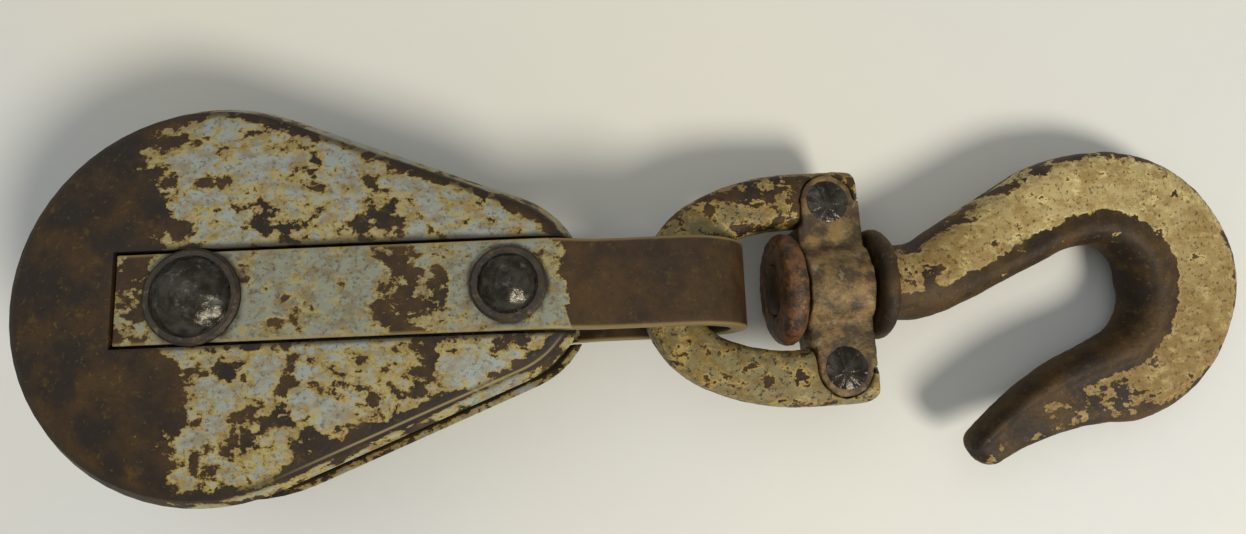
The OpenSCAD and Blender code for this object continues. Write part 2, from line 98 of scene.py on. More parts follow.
def linear(code: str) -> tuple[float, float, float, float]:
    """Turns an sRGB hex colour to linear RGBA.

    Args:
        code: six hex digits.

    Returns:
        Linear red, green and blue, with an alpha of 1.
    """
    channels = [int(code[i : i + 2], 16) / 255 for i in (0, 2, 4)]
    curve = [c / 12.92 if c <= 0.04045 else ((c + 0.055) / 1.055) ** 2.4 for c in channels]
    return (curve[0], curve[1], curve[2], 1.0)


@dataclass(frozen=True)
class Grain:
    """Noise of a real size.

    Attributes:
        size_mm: width of a blotch.
        octaves: octaves of finer noise, which fray the blotches.
        fray: strength of the finer octaves.
        warp: how far the pattern is bent.
    """

    size_mm: float
    octaves: float = 4.0
    fray: float = 0.55
    warp: float = 0.0

    def at(self, place: Link) -> Inputs:
        """Gives the inputs of a noise node.

        Args:
            place: the link of coordinates in millimetres.

        Returns:
            The inputs by socket name.
        """
        return {
            "Vector": place,
            "Scale": 1 / self.size_mm,
            "Detail": self.octaves,
            "Roughness": self.fray,
            "Distortion": self.warp,
        }


@dataclass(frozen=True)
class Fade:
    """A smooth change from one value to another.

    Attributes:
        start: reading at which it starts, a place in millimetres or a level of noise.
        end: reading at which it ends, higher than start.
        before: value up to the start.
        after: value from the end on.
    """

    start: float
    end: float
    before: float = 0.0
    after: float = 1.0

    def of(self, reading: Link) -> Inputs:
        """Gives the inputs of a map range node that reads a link."""
        return {0: reading, 1: self.start, 2: self.end, 3: self.before, 4: self.after}


@dataclass
class Graph:
    """The node tree of a finish or of the room."""

    tree: bpy.types.NodeTree

    def add(self, kind: str, inputs: Inputs, out: str | int = 0, **settings: object) -> Link:
        """Adds a node with its settings, and its inputs as values or links.

        Args:
            kind: the node's type name without its ShaderNode prefix.
            inputs: socket names or numbers, each with a value or a link.
            out: the output that is handed on.
            settings: properties of the node.

        Returns:
            The node and its output, which can be an input of the next node.
        """
        node = self.tree.nodes.new("ShaderNode" + kind)
        for name, value in settings.items():
            setattr(node, name, value)
        for socket, value in inputs.items():
            if isinstance(value, tuple) and isinstance(value[0], bpy.types.Node):
                self.tree.links.new(value[0].outputs[value[1]], node.inputs[socket])
            else:
                node.inputs[socket].default_value = value
        return (node, out)

    def millimetres(self, roll: float = 0.0) -> Link:
        """Reads Object coordinates in millimetres, turned about the block's length.

        Args:
            roll: the turn in degrees.

        Returns:
            The link of the coordinates.
        """
        metres = self.add("TexCoord", {}, "Object")
        return self.add("Mapping", {0: metres, 2: (radians(roll), 0.0, 0.0), 3: (1 / MM,) * 3})

    def blotches(self, place: Link, grain: Grain, fade: Fade) -> Link:
        """Makes a mask of blotches of a real size.

        Args:
            place: the link of coordinates in millimetres.
            grain: the size and fray of the blotches.
            fade: the levels of noise between which a blotch sets in.

        Returns:
            The link of the mask.
        """
        return self.add("MapRange", fade.of(self.add("TexNoise", grain.at(place))), **SMOOTH)

    def tinted(self, colour: Link, tint: str, mask: Link, strength: float) -> Link:
        """Lays a tint over a colour where a mask says.

        Args:
            colour: the link of the colour underneath.
            tint: the colour on top, as a hex code.
            mask: the link of the mask.
            strength: share of the tint where the mask is full.

        Returns:
            The link of the new colour.
        """
        share = self.add("Math", {0: mask, 1: strength}, **MULTIPLY)
        return self.add("Mix", {0: share, 6: colour, 7: linear(tint)}, 2, **COLOURS)

    def swing(self, middle: float | Link, pattern: Link, reach: float) -> Link:
        """Lets a value swing about its middle with a pattern.

        Args:
            middle: the value, or its link.
            pattern: the link of a noise about 0.5.
            reach: the swing for a whole unit of noise.

        Returns:
            The link of the value.
        """
        about_zero = self.add("Math", {0: pattern, 1: 0.5}, **SUBTRACT)
        part = self.add("Math", {0: about_zero, 1: reach}, **MULTIPLY)
        return self.add("Math", {0: middle, 1: part}, **ADD)


def blank_material(name: str) -> tuple[bpy.types.Material, Graph]:
    """Makes a material with an empty node tree.

    Args:
        name: the material's name.

    Returns:
        The material and its graph.
    """
    material = bpy.data.materials.new(name)
    material.use_nodes = True
    material.node_tree.nodes.clear()
    return material, Graph(material.node_tree)


class Region(Enum):
    """The piece that old paint is on, which sets where it has worn away."""

    CHEEK = "cheek"
    STRAP = "strap"
    SHACKLE = "shackle"
    HOOK = "hook"
    PLATE = "plate"


@dataclass(frozen=True)
class Axes:
    """Places in the block's own unrolled frame, in millimetres.

    Attributes:
        place: the link of all three coordinates.
        x: the link of the place along the block.
        y: the link of the place across it.
        wander: the link of a slow noise about 0 that bends straight borders.
    """

    place: Link
    x: Link
    y: Link
    wander: Link


@dataclass(frozen=True)
class OldPaint:
    """Oil paint on steel or iron, half gone to rust.

    The eye gets flat pale islands with ochre rims, on matt brown rust with darker hollows. The
    patterns have the sizes of the real ones: islands 6 to 15 mm wide, chips of 4 mm, pocks of
    1.5 to 1.9 mm, and pits of about 1 mm, the finest that the render shows.

    Attributes:
        name: the material's name.
        region: the piece that the paint is on.
        paint: colour of yellowed paint near the edge of an island.
        paint_cool: colour of greyer paint inside an island.
        stain: rust stain on the paint and along its rims.
        rust: plain rust.
        rust_dark: rust in the hollows.
        rust_light: rust in bloom.
        patch_mm: width of an island of paint.
        coverage: share of the surface that is painted.
        chipping: strength of the small chips beside that of the islands.
        pock_mm: width of a pock in the skin.
        pocked: strength of the pocks' colour.
        paint_rough: roughness of the paint.
        rust_rough: roughness of the rust.
        pit_mm: width of a pit in the relief.
        relief_mm: depth of the relief.
    """

    name: str
    region: Region
    paint: str
    paint_cool: str
    stain: str
    rust: str
    rust_dark: str
    rust_light: str
    patch_mm: float = 14.0
    coverage: float = 0.5
    chipping: float = 0.3
    pock_mm: float = 1.6
    pocked: float = 0.45
    paint_rough: float = 0.5
    rust_rough: float = 0.62
    pit_mm: float = 1.1
    relief_mm: float = 0.16

    def axes(self, g: Graph) -> Axes:
        """Reads the places that the paint goes by.

        Args:
            g: the material's graph.

        Returns:
            Their links.
        """
        place = g.millimetres(LIE_ROLL)
        parts = g.add("SeparateXYZ", {0: place})[0]
        drift = g.add("TexNoise", Grain(34.0, 2.0).at(place))
        wander = g.add("Math", {0: drift, 1: 0.5}, **SUBTRACT)
        return Axes(place, (parts, 0), (parts, 1), wander)

    def bent_x(self, g: Graph, axes: Axes, reach_mm: float) -> Link:
        """Gives the place along the block, with the borders that it draws bent by a reach."""
        part = g.add("Math", {0: axes.wander, 1: reach_mm}, **MULTIPLY)
        return g.add("Math", {0: axes.x, 1: part}, **ADD)

    def left_on_cheek(self, g: Graph, axes: Axes) -> Link:
        """Wears the cheek bare at its round end and along its crease.

        Args:
            g: the material's graph.
            axes: the links of the places.

        Returns:
            The link of what is added to the paint's level.
        """
        edge = g.add("Attribute", {}, 2, attribute_name="edge_mm")
        bent = self.bent_x(g, axes, 40.0)
        round_end = g.add("MapRange", Fade(-36.0, 6.0, -0.3, 0.05).of(bent), **SMOOTH)
        upper_half = g.add("MapRange", Fade(-14.0, 16.0, -0.02, 0.012).of(axes.y), **SMOOTH)
        crease = g.add("MapRange", Fade(1.0, 5.0, -0.14, 0.0).of(edge), **SMOOTH)
        not_flank = g.add("MapRange", Fade(-1.6, -0.6).of(edge), **SMOOTH)
        worn_rim = g.add("Math", {0: crease, 1: not_flank}, **MULTIPLY)
        ends = g.add("Math", {0: round_end, 1: upper_half}, **ADD)
        return g.add("Math", {0: ends, 1: worn_rim}, **ADD)

    def left_on_strap(self, g: Graph, axes: Axes) -> Link:
        """Wears the strap bare past the rivet, at its start and in one gap between the heads.

        Args:
            g: the material's graph.
            axes: the links of the places.

        Returns:
            The link of what is added to the paint's level.
        """
        bent = self.bent_x(g, axes, 9.0)
        past_rivet = g.add("MapRange", Fade(126.0, 133.0, 0.12, -0.36).of(bent), **SMOOTH)
        gap_start = g.add("MapRange", Fade(58.0, 66.0).of(axes.x), **SMOOTH)
        gap_end = g.add("MapRange", Fade(84.0, 92.0, 1.0, 0.0).of(axes.x), **SMOOTH)
        gap = g.add("Math", {0: gap_start, 1: gap_end}, **MULTIPLY)
        rusty_gap = g.add("Math", {0: gap, 1: -0.17}, **MULTIPLY)
        start = g.add("MapRange", Fade(-20.0, -10.0, -0.24, 0.0).of(axes.x), **SMOOTH)
        most = g.add("Math", {0: past_rivet, 1: rusty_gap}, **ADD)
        return g.add("Math", {0: most, 1: start}, **ADD)

    def left_on_hook(self, g: Graph) -> Link:
        """Wears the hook bare in its bowl, on its lip and neck, and at the edge of its back.

        Args:
            g: the material's graph.

        Returns:
            The link of what is added to the paint's level.
        """
        across = g.add("Attribute", {}, 2, attribute_name="across")
        along = g.add("Attribute", {}, 2, attribute_name="along_mm")
        bowl = g.add("MapRange", Fade(-0.42, -0.16, -0.3, 0.13).of(across), **SMOOTH)
        lip = g.add("MapRange", Fade(160.0, 235.0, 0.0, -0.3).of(along), **SMOOTH)
        neck = g.add("MapRange", Fade(6.0, 44.0, -0.12, 0.0).of(along), **SMOOTH)
        back = g.add("MapRange", Fade(0.62, 0.96, 0.0, -0.24).of(across), **SMOOTH)
        bowl_and_lip = g.add("Math", {0: bowl, 1: lip}, **ADD)
        neck_and_back = g.add("Math", {0: neck, 1: back}, **ADD)
        return g.add("Math", {0: bowl_and_lip, 1: neck_and_back}, **ADD)

    def left_on_shackle(self, g: Graph, axes: Axes) -> Link:
        """Wears the shackle's flanks bare and leaves its top painted, less on its lower arm.

        Args:
            g: the material's graph.
            axes: the links of the places.

        Returns:
            The link of what is added to the paint's level.
        """
        bend = g.add("Attribute", {}, 2, attribute_name="bend_mm")
        flanks = g.add("MapRange", Fade(1.0, 6.0, -0.16, 0.07).of(bend), **SMOOTH)
        arms = g.add("MapRange", Fade(-24.0, -6.0, -0.05, 0.03).of(axes.y), **SMOOTH)
        return g.add("Math", {0: flanks, 1: arms}, **ADD)

    def left(self, g: Graph, axes: Axes) -> Link | float:
        """Says how much more or less paint is left at a place.

        Args:
            g: the material's graph.
            axes: the links of the places.

        Returns:
            What is added to the paint's level, as a link or one number.
        """
        if self.region is Region.CHEEK:
            return self.left_on_cheek(g, axes)
        if self.region is Region.STRAP:
            return self.left_on_strap(g, axes)
        if self.region is Region.HOOK:
            return self.left_on_hook(g)
        if self.region is Region.SHACKLE:
            return self.left_on_shackle(g, axes)
        return -0.18

    def coat(self, g: Graph, axes: Axes, along: Link, flecks: Link, level: Link) -> Link:
        """Mixes the colour of the paint.

        Args:
            g: the material's graph.
            axes: the links of the places.
            along: the link of places drawn out along the block.
            flecks: the link of the noise of the chips.
            level: the link of the paint's level, which is the higher the deeper in an island.

        Returns:
            The link of the colour.
        """
        cut = 1 - self.coverage
        fresh = g.add("TexNoise", Grain(22.0, 3.0).at(axes.place))
        deep = g.swing(level, fresh, 0.2)
        inside = g.add("MapRange", Fade(cut + 0.05, cut + 0.15).of(deep), **SMOOTH)
        colours = {0: inside, 6: linear(self.paint), 7: linear(self.paint_cool)}
        coat = g.add("Mix", colours, 2, **COLOURS)
        # Rust has run over the paint in streaks about 5 mm wide.
        streaks = g.blotches(along, Grain(5.0, 6.0, 0.7), Fade(0.42, 0.62))
        coat = g.tinted(coat, self.stain, streaks, 0.6)
        rim = g.add("MapRange", Fade(cut, cut + 0.055, 1.0, 0.0).of(level), **SMOOTH)
        coat = g.tinted(coat, self.stain, rim, 0.85)
        if self.region is Region.HOOK:
            coat = self.grubby_ends(g, coat, flecks)
        # Pinholes of rust 1.5 mm wide, coarser than real ones so that they show.
        specks = g.blotches(axes.place, Grain(1.5, 3.0, 0.6), Fade(0.66, 0.72))
        return g.tinted(coat, self.rust, specks, 0.8)

    def grubby_ends(self, g: Graph, coat: Link, flecks: Link) -> Link:
        """Darkens the hook's paint towards its lip and on its neck.

        Args:
            g: the material's graph.
            coat: the link of the paint's colour.
            flecks: the link of the noise of the chips.

        Returns:
            The link of the new colour.
        """
        length = g.add("Attribute", {}, 2, attribute_name="along_mm")
        lip = g.add("MapRange", Fade(100.0, 178.0, 0.0, 0.85).of(length), **SMOOTH)
        neck = g.add("MapRange", Fade(20.0, 74.0, 0.75, 0.0).of(length), **SMOOTH)
        ends = g.add("Math", {0: lip, 1: neck}, **MAXIMUM)
        broken = g.add("MapRange", Fade(0.3, 0.62, 0.45, 1.0).of(flecks), **SMOOTH)
        share = g.add("Math", {0: ends, 1: broken}, **MULTIPLY)
        return g.add("Mix", {0: share, 6: coat, 7: linear("735a29")}, 2, **COLOURS)

    def metal(self, g: Graph, place: Link, bloom: Link) -> Link:
        """Mixes the colour of the rusty metal.

        Args:
            g: the material's graph.
            place: the link of the coordinates.
            bloom: the link of the mask of blooming rust.

        Returns:
            The link of the colour.
        """
        # Damp has drawn clouds 17 mm wide, and crumbs of rust about 2 mm wide lie on them.
        clouds = g.blotches(place, Grain(17.0, 5.0, 0.6), Fade(0.36, 0.66))
        rusts = {0: clouds, 6: linear(self.rust_dark), 7: linear(self.rust)}
        metal = g.tinted(g.add("Mix", rusts, 2, **COLOURS), self.rust_light, bloom, 0.6)
        crumbs = g.blotches(place, Grain(1.8, 4.0, 0.65), Fade(0.68, 0.73))
        return g.tinted(metal, self.stain, crumbs, 0.45)

    def worn(self, g: Graph, axes: Axes, colour: Link) -> Link:
        """Lays pocks, rubbed edges, the crease's painted shade and highlight, and soot with
        painted shade over paint and metal.

        Args:
            g: the material's graph.
            axes: the links of the places.
            colour: the link of the colour underneath.

        Returns:
            The link of the new colour.
        """
        pocks = g.blotches(axes.place, Grain(self.pock_mm, 3.0, 0.6), Fade(0.56, 0.64))
        colour = g.tinted(colour, self.rust_dark, pocks, self.pocked)
        # Stains about a third wider than the pocks lie between them.
        wider = Grain(self.pock_mm * 1.3, 3.0, 0.6)
        stains = g.blotches(axes.place, wider, Fade(0.3, 0.4, 1.0, 0.0))
        colour = g.tinted(colour, self.stain, stains, self.pocked * 0.5)
        if self.region is Region.STRAP:
            edge = g.add("Attribute", {}, 2, attribute_name="edge_mm")
            rubbed = g.add("MapRange", Fade(0.2, 1.4, 0.6, 0.0).of(edge), **SMOOTH)
            colour = g.add("Mix", {0: rubbed, 6: colour, 7: linear("8f7d50")}, 2, **COLOURS)
        if self.region is Region.CHEEK:
            colour = self.creased(g, axes, colour)
        # Darkens to near black by a stored mask: painted shade with some dirt along the cheek's
        # channel, grease round the strap's washers, and dirt at the hook's collar.
        grime = g.add("Attribute", {}, 2, attribute_name="grime")
        soot_and_shade = g.add("MapRange", Fade(0.25, 0.9, 0.0, 0.86).of(grime), **SMOOTH)
        return g.add("Mix", {0: soot_and_shade, 6: colour, 7: linear("171009")}, 2, **COLOURS)

    def creased(self, g: Graph, axes: Axes, colour: Link) -> Link:
        """Draws the cheek's crease: painted shade and some dirt beside it, and a painted
        highlight on its lower side towards the narrow end.

        Args:
            g: the material's graph.
            axes: the links of the places.
            colour: the link of the colour underneath.

        Returns:
            The link of the new colour.
        """
        edge = g.add("Attribute", {}, 2, attribute_name="edge_mm")
        off_middle = g.add("Math", {0: edge, 1: 0.3}, **SUBTRACT)
        crease = g.add("Math", {0: off_middle}, operation="ABSOLUTE")
        narrow_end = g.add("MapRange", Fade(20.0, 60.0).of(axes.x), **SMOOTH)
        lower_half = g.add("MapRange", Fade(-30.0, -10.0, 1.0, 0.0).of(axes.y), **SMOOTH)
        highlight_side = g.add("Math", {0: narrow_end, 1: lower_half}, **MULTIPLY)
        # Painted shade with some dirt: a near-black band along the crease, where the rim turns
        # away from the light.
        crease_shade_and_dirt = g.add("MapRange", Fade(0.3, 2.4, 0.7, 0.0).of(crease), **SMOOTH)
        colour = g.add("Mix", {0: crease_shade_and_dirt, 6: colour, 7: linear("1a1108")}, 2, **COLOURS)
        # Painted highlight: a pale line on the crease, on the lower side towards the narrow end,
        # which faces the light.
        line = g.add("MapRange", Fade(0.1, 0.6, 0.6, 0.0).of(crease), **SMOOTH)
        crease_highlight = g.add("Math", {0: line, 1: highlight_side}, **MULTIPLY)
        return g.add("Mix", {0: crease_highlight, 6: colour, 7: linear("9a8c60")}, 2, **COLOURS)

    def build(self) -> bpy.types.Material:
        """Makes the material.

        Returns:
            A node material that reads Object coordinates and the piece's own attributes.
        """
        material, g = blank_material(self.name)
        axes = self.axes(g)
        patches = g.add("TexNoise", Grain(self.patch_mm, 7.0, 0.62, 0.35).at(axes.place))
        along = g.add("Mapping", {0: axes.place, 3: (0.7, 1.0, 1.0)})
        # Small chips about 4 mm wide, drawn out a little along the block.
        flecks = g.add("TexNoise", Grain(4.2, 5.0, 0.64).at(along))
        level = g.swing(patches, flecks, self.chipping)
        level = g.add("Math", {0: level, 1: self.left(g, axes)}, **ADD)
        cut = 1 - self.coverage
        painted = g.add("MapRange", Fade(cut - 0.008, cut + 0.008).of(level), **SMOOTH)

        coat = self.coat(g, axes, along, flecks, level)
        bloom = g.blotches(axes.place, Grain(6.0, 6.0, 0.68), Fade(0.54, 0.74))
        metal = self.metal(g, axes.place, bloom)
        colour = g.add("Mix", {0: painted, 6: metal, 7: coat}, 2, **COLOURS)
        colour = self.worn(g, axes, colour)

        sheen = Fade(0.0, 1.0, self.rust_rough, self.paint_rough)
        rough = g.swing(g.add("MapRange", sheen.of(painted), **SMOOTH), flecks, 0.25)
        pits = g.add("TexNoise", Grain(self.pit_mm, 4.0, 0.6).at(axes.place))
        parts = [
            g.add("Math", {0: layer, 1: share}, **MULTIPLY)
            for layer, share in ((painted, 0.55), (pits, 0.6), (bloom, 0.3))
        ]
        skin = g.add("Math", {0: parts[0], 1: parts[1]}, **ADD)
        height = g.add("Math", {0: skin, 1: parts[2]}, **ADD)
        depth = self.relief_mm * MM * 2
        bump = g.add("Bump", {"Strength": 0.75, "Distance": depth, "Height": height})
        looks = {
            "Base Color": colour,
            "Roughness": rough,
            "Normal": bump,
            "Specular IOR Level": 0.28,
        }
        g.add("OutputMaterial", {"Surface": g.add("BsdfPrincipled", looks)})
        return material


@dataclass(frozen=True)
class WornSteel:
    """Bare metal with a brown oxide skin.

    The eye gets a dull sheen with darker hollows and brighter spots that were rubbed.

    Attributes:
        name: the material's name.
        dark: colour of the hollows.
        light: colour of the skin.
        rubbed: colour of the rubbed spots.
        cloud_mm: width of a cloud of the skin.
        metallic: how metallic the skin looks, lower under rust and grease.
        roughness: roughness of the skin.
        pit_mm: width of a pit in the relief.
        relief_mm: depth of the relief.
    """

    name: str
    dark: str
    light: str
    rubbed: str
    cloud_mm: float = 7.0
    metallic: float = 0.55
    roughness: float = 0.42
    pit_mm: float = 1.0
    relief_mm: float = 0.14

    def build(self) -> bpy.types.Material:
        """Makes the material.

        Returns:
            A node material that reads Object coordinates and the piece's grime attribute.
        """
        material, g = blank_material(self.name)
        place = g.millimetres()
        cloud = g.blotches(place, Grain(self.cloud_mm, 6.0, 0.62, 0.2), Fade(0.4, 0.64))
        skins = {0: cloud, 6: linear(self.dark), 7: linear(self.light)}
        colour = g.add("Mix", skins, 2, **COLOURS)
        spots = g.blotches(place, Grain(self.cloud_mm * 0.6, 5.0, 0.65), Fade(0.56, 0.7))
        colour = g.tinted(colour, self.rubbed, spots, 0.7)
        grime = g.add("Attribute", {}, 2, attribute_name="grime")
        soot_and_shade = g.add("MapRange", Fade(0.25, 0.9, 0.0, 0.85).of(grime), **SMOOTH)
        colour = g.add("Mix", {0: soot_and_shade, 6: colour, 7: linear("130d07")}, 2, **COLOURS)
        pits = g.add("TexNoise", Grain(self.pit_mm, 4.0, 0.6).at(place))
        rough = g.swing(self.roughness, pits, 0.3)
        raised = g.add("Math", {0: cloud, 1: 0.6}, **MULTIPLY)
        height = g.add("Math", {0: pits, 1: raised}, **ADD)
        depth = self.relief_mm * MM * 2
        bump = g.add("Bump", {"Strength": 0.8, "Distance": depth, "Height": height})
        looks = {
            "Base Color": colour,
            "Roughness": rough,
            "Normal": bump,
            "Metallic": self.metallic,
        }
        g.add("OutputMaterial", {"Surface": g.add("BsdfPrincipled", looks)})
        return material


@dataclass(frozen=True)
class TableTop:
    """Pale table laminate.

    The eye gets an almost even white that drifts from warm to cool and keeps soft shadows.

    Attributes:
        name: the material's name.
        warm: the warmer white.
        cool: the cooler white.
        mottle: the white of the faint mottling.
    """

    name: str = "table_laminate"
    warm: str = "d6d6cd"
    cool: str = "d0d4d5"
    mottle: str = "dddcd4"

    def build(self) -> bpy.types.Material:
        """Makes the material.

        Returns:
            A node material that reads Object coordinates.
        """
        material, g = blank_material(self.name)
        place = g.millimetres()
        # The white drifts over about 260 mm, and its mottling is about 9 mm wide.
        drift = g.blotches(place, Grain(260.0, 1.0), Fade(0.3, 0.7))
        faint = g.blotches(place, Grain(9.0, 3.0), Fade(0.3, 0.7, 0.0, 0.08))
        whites = {0: drift, 6: linear(self.warm), 7: linear(self.cool)}
        base = g.add("Mix", whites, 2, **COLOURS)
        colour = g.add("Mix", {0: faint, 6: base, 7: linear(self.mottle)}, 2, **COLOURS)
        shader = g.add("BsdfPrincipled", {"Base Color": colour, "Roughness": 0.6})
        g.add("OutputMaterial", {"Surface": shader})
        return material


# Brushed paint on the pressed cheeks: broad grey-white islands with ochre rims on brown rust.
CHEEK_PAINT = OldPaint(
    "oil_paint_on_pressed_steel",
    Region.CHEEK,
    paint="9c9160",
    paint_cool="8d9590",
    stain="77602a",
    rust="39270c",
    rust_dark="140c04",
    rust_light="554217",
    patch_mm=15.0,
    coverage=0.525,
    chipping=0.62,
)
# The same paint on hot-rolled flat bar: greyer, with one rusty gap, and bare past the rivet.
STRAP_PAINT = OldPaint(
    "oil_paint_on_flat_bar",
    Region.STRAP,
    paint="958c5e",
    paint_cool="808578",
    stain="664f22",
    rust="3f2c12",
    rust_dark="22170a",
    rust_light="544219",
    patch_mm=13.0,
    coverage=0.55,
    chipping=0.75,
)
# Paint on a coarse sand casting: yellowed, broken into small islands and thick with pocks.
SHACKLE_PAINT = OldPaint(
    "oil_paint_on_sand_casting",
    Region.SHACKLE,
    paint="a48e50",
    paint_cool="7b724e",
    stain="644a1c",
    rust="402d0f",
    rust_dark="190f05",
    rust_light="5f4519",
    patch_mm=6.0,
    coverage=0.6,
    chipping=0.9,
    pock_mm=1.9,
    pocked=0.85,
    pit_mm=1.3,
    relief_mm=0.3,
)
# Paint on a drop forging: cream on the hook's back, worn through to brown in its bowl.
HOOK_PAINT = OldPaint(
    "oil_paint_on_forging",
    Region.HOOK,
    paint="cabb84",
    paint_cool="a8996a",
    stain="7a5c26",
    rust="453214",
    rust_dark="1c1207",
    rust_light="5f4a22",
    patch_mm=9.0,
    coverage=0.575,
    chipping=0.8,
    pock_mm=1.5,
    pocked=0.6,
    pit_mm=1.2,
    relief_mm=0.22,
)
# Paint on the plate between the sheaves: mostly gone, with a few tan islands.
PLATE_PAINT = OldPaint(
    "oil_paint_on_plate",
    Region.PLATE,
    paint="a8986c",
    paint_cool="958f76",
    stain="7c6232",
    rust="46341b",
    rust_dark="1f150a",
    rust_light="5f4a28",
    patch_mm=12.0,
    coverage=0.55,
)
# Heads closed with a hammer: dark steel, glossy where the blows burnished it.
HEAD_STEEL = WornSteel(
    "hammered_rivet_steel", "1b150d", "3b3932", "5f625c",
    cloud_mm=7.0, metallic=0.65, roughness=0.24, relief_mm=0.08,
)
# Sand-cast crossbar: matt brown with paler clouds and a coarse grain.
CROSSBAR_IRON = WornSteel(
    "cast_crossbar_iron", "35260f", "786036", "7f775c",
    cloud_mm=8.0, metallic=0.15, roughness=0.55, pit_mm=1.3, relief_mm=0.25,
)
# Rusted nut: redder brown than the rest, and matt.
NUT_IRON = WornSteel(
    "rusty_nut_iron", "2b1a0a", "6b4522", "8c6a38",
    cloud_mm=6.0, metallic=0.15, roughness=0.55, pit_mm=1.2, relief_mm=0.25,
)
# Washers soaked with old grease: nearly black, so that the heads stand out.
WASHER_STEEL = WornSteel(
    "greasy_washer_steel", "140d06", "30240f", "64522c",
    cloud_mm=5.0, metallic=0.2, roughness=0.5,
)
# Turned cast sheaves: dull grey-brown, with lighter spots where a rope has rubbed.
SHEAVE_IRON = WornSteel(
    "cast_sheave_iron", "1f170e", "4f3d26", "7b6f5c",
    cloud_mm=9.0, metallic=0.45, roughness=0.5,
)
# Tubes inside the shell's narrow end: dry rust without gloss.
SPACER_STEEL = WornSteel(
    "rusty_spacer_steel", "2b1d0e", "5c4425", "7a6038",
    cloud_mm=8.0, metallic=0.2, roughness=0.6,
)
# Bearing bushes: tarnished brass, warm and metallic.
BUSH_BRASS = WornSteel(
    "dull_bearing_brass", "5b431b", "9a7b3f", "c2a364",
    cloud_mm=5.0, metallic=0.9, roughness=0.42,
)


def block_place(point: Vector) -> Vector:
    """Turns a point of the frame, in metres, to the block's unrolled frame in millimetres."""
    return Matrix.Rotation(radians(LIE_ROLL), 3, "X") @ (point / MM)


def merged_copy(node: str, name: str) -> bpy.types.Object:
    """Copies a CAD node's mesh as one closed skin.

    Args:
        node: the CAD node.
        name: the name of the new piece.

    Returns:
        A linked object at the origin with its doubles merged.
    """
    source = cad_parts[node]
    mesh = bpy.data.meshes.new(name)
    skin = bmesh.new()
    skin.from_mesh(source.data)
    bmesh.ops.remove_doubles(skin, verts=skin.verts, dist=0.002 * MM)
    skin.to_mesh(mesh)
    skin.free()
    piece = bpy.data.objects.new(name, mesh)
    bpy.context.scene.collection.objects.link(piece)
    return piece


def cast_skin(piece: bpy.types.Object, voxel_mm: float, smooth: int) -> None:
    """Turns a piece to an even, softly rounded skin, as a casting or forging has.

    Args:
        piece: the piece, with a closed mesh.
        voxel_mm: width of a cell of the new skin.
        smooth: rounds of smoothing.
    """
    remesh = piece.modifiers.new("even_skin", "REMESH")
    remesh.mode = "VOXEL"
    remesh.voxel_size = voxel_mm * MM
    graph = bpy.context.evaluated_depsgraph_get()
    mesh = bpy.data.meshes.new_from_object(piece.evaluated_get(graph))
    piece.modifiers.clear()
    piece.data = mesh
    skin = bmesh.new()
    skin.from_mesh(mesh)
    for _ in range(smooth):
        bmesh.ops.smooth_vert(
            skin, verts=skin.verts, factor=0.5, use_axis_x=True, use_axis_y=True, use_axis_z=True
        )
    skin.to_mesh(mesh)
    skin.free()


def rolled_skin(piece: bpy.types.Object, edge_mm: float, longest_mm: float) -> None:
    """Rounds the sharp edges of a plate or bar and divides its long faces.

    Args:
        piece: the piece, with a closed mesh.
        edge_mm: width of the rounded edges.
        longest_mm: width of the slices that the long faces are cut in.
    """
    flat_angle, sharp_angle = radians(0.4), radians(28)
    skin = bmesh.new()
    skin.from_mesh(piece.data)
    bmesh.ops.dissolve_limit(
        skin,
        angle_limit=flat_angle,
        use_dissolve_boundaries=False,
        verts=skin.verts,
        edges=skin.edges,
    )
    sharp = [
        edge
        for edge in skin.edges
        if len(edge.link_faces) == 2 and edge.calc_face_angle() > sharp_angle
    ]
    bmesh.ops.bevel(
        skin,
        geom=sharp,
        offset=edge_mm * MM,
        affect="EDGES",
        segments=2,
        profile=0.5,
        material=-1,
        clamp_overlap=True,
    )
    for axis in range(3):
        along = Vector([float(axis == i) for i in range(3)])
        low = min(vert.co[axis] for vert in skin.verts)
        high = max(vert.co[axis] for vert in skin.verts)
        cuts = int((high - low) / (longest_mm * MM))
        for cut in range(1, cuts + 1):
            place = along * (low + (high - low) * (cut - 0.5) / cuts)
            geom = skin.verts[:] + skin.edges[:] + skin.faces[:]
            bmesh.ops.bisect_plane(
                skin, geom=geom, dist=0.01 * MM, plane_co=place, plane_no=along
            )
    bmesh.ops.triangulate(skin, faces=skin.faces)
    skin.to_mesh(piece.data)
    skin.free()


def points_mm(piece: bpy.types.Object) -> np.ndarray:
    """Gives a piece's points.

    Args:
        piece: the piece.

    Returns:
        Rows of x, y and z in millimetres.
    """
    flat = np.empty(len(piece.data.vertices) * 3, dtype=np.float32)
    piece.data.vertices.foreach_get("co", flat)
    return flat.reshape(-1, 3) / MM


def roughen(piece: bpy.types.Object, height: Callable[[Vector, Vector], float]) -> None:
    """Moves a piece's points along their normals.

    Args:
        piece: the piece.
        height: gives the move in millimetres from a point in millimetres and its normal.
    """
    normals = np.empty(len(piece.data.vertices) * 3, dtype=np.float32)
    piece.data.vertices.foreach_get("normal", normals)
    normals = normals.reshape(-1, 3)
    places = points_mm(piece)
    moves = [height(Vector(place), Vector(normal)) for place, normal in zip(places, normals)]
    moved = places + normals * np.array(moves, dtype=np.float32)[:, None]
    piece.data.vertices.foreach_set("co", (moved * MM).astype(np.float32).ravel())
    piece.data.update()


def store(piece: bpy.types.Object, name: str, values: np.ndarray) -> None:
    """Stores one number for each point of a piece, for its material to read."""
    layer = piece.data.attributes.new(name, "FLOAT", "POINT")
    layer.data.foreach_set("value", values.astype(np.float32))


